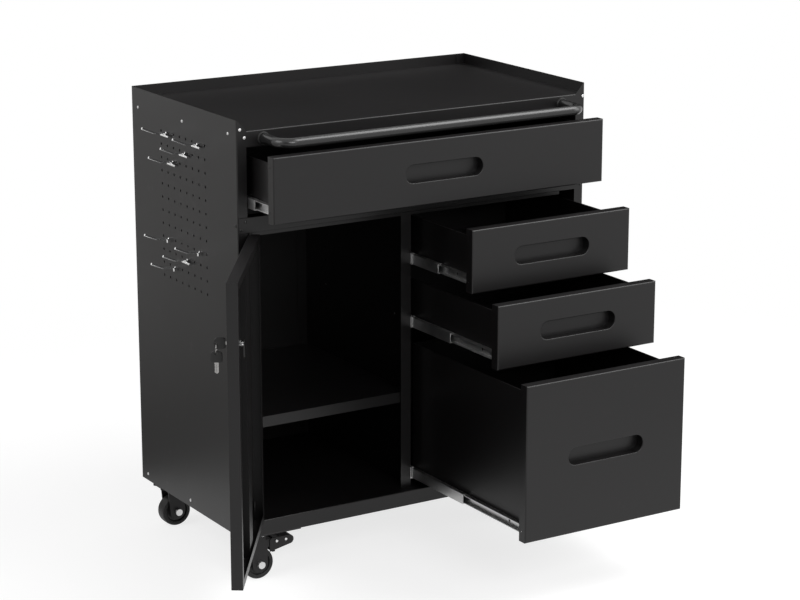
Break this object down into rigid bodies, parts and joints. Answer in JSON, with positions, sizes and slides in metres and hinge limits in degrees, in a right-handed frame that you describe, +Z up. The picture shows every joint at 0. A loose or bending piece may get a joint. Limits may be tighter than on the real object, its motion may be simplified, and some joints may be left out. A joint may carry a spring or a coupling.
{
  "type": "rolling tool cabinet",
  "caption": "Rolling steel tool cabinet: wide top drawer, drawers and a lockable door compartment below, hole-grid side with hooks, push handle, swivel casters with brakes.",
  "frame": {"origin": "on the floor, under the middle of the cabinet's footprint", "axes": "+Z up, the front with its drawers faces -Y, +X to the right of a person who faces the front"},
  "size_m": [0.948, 0.7882, 0.884],
  "materials": {
    "black_powder_coat": "satin powder coat",
    "gloss_black_tube": "semi-gloss",
    "black_caster_steel": "satin",
    "zinc_plate": "bright zinc",
    "bright_chrome": "polished",
    "key_steel": "nickel with a black head cover",
    "black_plastic": "moulded",
    "black_tread": "smooth hard rubber"
  },
  "bodies": {
    "cabinet": {"left_side_panel": "black_powder_coat", "right_side_panel": "black_powder_coat", "back_panel": "black_powder_coat", "worktop": "black_powder_coat", "middle_rail": "black_powder_coat", "base_pan": "black_powder_coat", "centre_divider": "black_powder_coat", "shelf": "black_powder_coat", "shelf_clips": "black_plastic", "push_handle": "gloss_black_tube", "handle_collars": "black_plastic", "handle_screws": "zinc_plate", "panel_screws": "zinc_plate", "rail_screws": "black_powder_coat", "pegboard_hooks": "bright_chrome", "slide_outer_members": "zinc_plate", "hinge_pins": "zinc_plate", "caster_plates": "black_caster_steel", "caster_support_plates": "black_powder_coat", "caster_bolts": "zinc_plate"},
    "door": {"door_panel": "black_powder_coat", "door_stiffener": "black_powder_coat", "lock_housing": "bright_chrome", "lock_nut": "bright_chrome"},
    "lock": {"lock_core": "bright_chrome", "lock_cam": "bright_chrome", "door_key": "key_steel"},
    "key_ring": {"key_ring": "bright_chrome"},
    "spare_key": {"spare_key": "key_steel"},
    "top_drawer": {"top_drawer_front": "black_powder_coat", "top_drawer_tray": "black_powder_coat", "top_slide_inner": "zinc_plate"},
    "top_slide": {"top_slide_middle": "zinc_plate"},
    "upper_drawer": {"upper_drawer_front": "black_powder_coat", "upper_drawer_tray": "black_powder_coat", "upper_slide_inner": "zinc_plate"},
    "upper_slide": {"upper_slide_middle": "zinc_plate"},
    "middle_drawer": {"middle_drawer_front": "black_powder_coat", "middle_drawer_tray": "black_powder_coat", "middle_slide_inner": "zinc_plate"},
    "middle_slide": {"middle_slide_middle": "zinc_plate"},
    "lower_drawer": {"lower_drawer_front": "black_powder_coat", "lower_drawer_tray": "black_powder_coat", "lower_slide_inner": "zinc_plate"},
    "lower_slide": {"lower_slide_middle": "zinc_plate"},
    "front_left_caster": {"front_left_caster_fork": "black_caster_steel", "front_left_caster_axle": "zinc_plate"},
    "front_left_wheel": {"front_left_caster_wheel": "black_tread"},
    "front_left_pedal": {"front_left_brake_pedal": "black_caster_steel"},
    "front_right_caster": {"front_right_caster_fork": "black_caster_steel", "front_right_caster_axle": "zinc_plate"},
    "front_right_wheel": {"front_right_caster_wheel": "black_tread"},
    "front_right_pedal": {"front_right_brake_pedal": "black_caster_steel"},
    "rear_left_caster": {"rear_left_caster_fork": "black_caster_steel", "rear_left_caster_axle": "zinc_plate"},
    "rear_left_wheel": {"rear_left_caster_wheel": "black_tread"},
    "rear_right_caster": {"rear_right_caster_fork": "black_caster_steel", "rear_right_caster_axle": "zinc_plate"},
    "rear_right_wheel": {"rear_right_caster_wheel": "black_tread"}
  },
  "joints": [
    {"name": "door_hinge", "type": "hinge", "parent": "cabinet", "child": "door", "pos_m": [-0.3535, -0.2095, 0.129], "axis": [0, 0, 1], "range_deg": [0, 124.5]},
    {"name": "lock_turn", "type": "hinge", "parent": "door", "child": "lock", "pos_m": [-0.5396, -0.47498, 0.562], "axis": [-0.8241, 0.5664, 0], "range_deg": [0, 90]},
    {"name": "key_ring_swing", "type": "hinge", "parent": "lock", "child": "key_ring", "pos_m": [-0.55691, -0.46309, 0.561], "axis": [-0.5664, -0.8241, 0], "range_deg": [-60, 12]},
    {"name": "spare_key_swing", "type": "hinge", "parent": "key_ring", "child": "spare_key", "pos_m": [-0.55691, -0.46309, 0.545], "axis": [-0.5664, -0.8241, 0], "range_deg": [-30, 10]},
    {"name": "top_drawer_pull", "type": "slide", "parent": "cabinet", "child": "top_drawer", "axis": [0, -1, 0], "range_m": [-0.094, 0.286]},
    {"name": "top_slide_travel", "type": "slide", "parent": "cabinet", "child": "top_slide", "axis": [0, -1, 0], "range_m": [-0.047, 0.143]},
    {"name": "upper_drawer_pull", "type": "slide", "parent": "cabinet", "child": "upper_drawer", "axis": [0, -1, 0], "range_m": [-0.1832, 0.1968]},
    {"name": "upper_slide_travel", "type": "slide", "parent": "cabinet", "child": "upper_slide", "axis": [0, -1, 0], "range_m": [-0.0916, 0.0984]},
    {"name": "middle_drawer_pull", "type": "slide", "parent": "cabinet", "child": "middle_drawer", "axis": [0, -1, 0], "range_m": [-0.2689, 0.1111]},
    {"name": "middle_slide_travel", "type": "slide", "parent": "cabinet", "child": "middle_slide", "axis": [0, -1, 0], "range_m": [-0.13445, 0.05555]},
    {"name": "lower_drawer_pull", "type": "slide", "parent": "cabinet", "child": "lower_drawer", "axis": [0, -1, 0], "range_m": [-0.3632, 0.0168]},
    {"name": "lower_slide_travel", "type": "slide", "parent": "cabinet", "child": "lower_slide", "axis": [0, -1, 0], "range_m": [-0.1816, 0.0084]},
    {"name": "front_left_swivel", "type": "hinge", "parent": "cabinet", "child": "front_left_caster", "pos_m": [-0.347, -0.1717, 0.086], "axis": [0, 0, 1], "continuous": true},
    {"name": "front_left_roll", "type": "hinge", "parent": "front_left_caster", "child": "front_left_wheel", "pos_m": [-0.332, -0.1717, 0.0305], "axis": [0, 1, 0], "continuous": true},
    {"name": "front_left_brake", "type": "hinge", "parent": "front_left_caster", "child": "front_left_pedal", "pos_m": [-0.2975, -0.1717, 0.0712], "axis": [0, 1, 0], "range_deg": [0, 18]},
    {"name": "front_right_swivel", "type": "hinge", "parent": "cabinet", "child": "front_right_caster", "pos_m": [0.347, -0.1717, 0.086], "axis": [0, 0, 1], "continuous": true},
    {"name": "front_right_roll", "type": "hinge", "parent": "front_right_caster", "child": "front_right_wheel", "pos_m": [0.332, -0.1717, 0.0305], "axis": [0, 1, 0], "continuous": true},
    {"name": "front_right_brake", "type": "hinge", "parent": "front_right_caster", "child": "front_right_pedal", "pos_m": [0.2975, -0.1717, 0.0712], "axis": [0, -1, 0], "range_deg": [0, 18]},
    {"name": "rear_left_swivel", "type": "hinge", "parent": "cabinet", "child": "rear_left_caster", "pos_m": [-0.347, 0.1717, 0.086], "axis": [0, 0, 1], "continuous": true},
    {"name": "rear_left_roll", "type": "hinge", "parent": "rear_left_caster", "child": "rear_left_wheel", "pos_m": [-0.332, 0.1717, 0.0305], "axis": [0, 1, 0], "continuous": true},
    {"name": "rear_right_swivel", "type": "hinge", "parent": "cabinet", "child": "rear_right_caster", "pos_m": [0.347, 0.1717, 0.086], "axis": [0, 0, 1], "continuous": true},
    {"name": "rear_right_roll", "type": "hinge", "parent": "rear_right_caster", "child": "rear_right_wheel", "pos_m": [0.332, 0.1717, 0.0305], "axis": [0, 1, 0], "continuous": true}
  ],
  "couplings": [
    {"joint": "top_slide_travel", "follows": "top_drawer_pull", "ratio": 0.5},
    {"joint": "upper_slide_travel", "follows": "upper_drawer_pull", "ratio": 0.5},
    {"joint": "middle_slide_travel", "follows": "middle_drawer_pull", "ratio": 0.5},
    {"joint": "lower_slide_travel", "follows": "lower_drawer_pull", "ratio": 0.5}
  ]
}
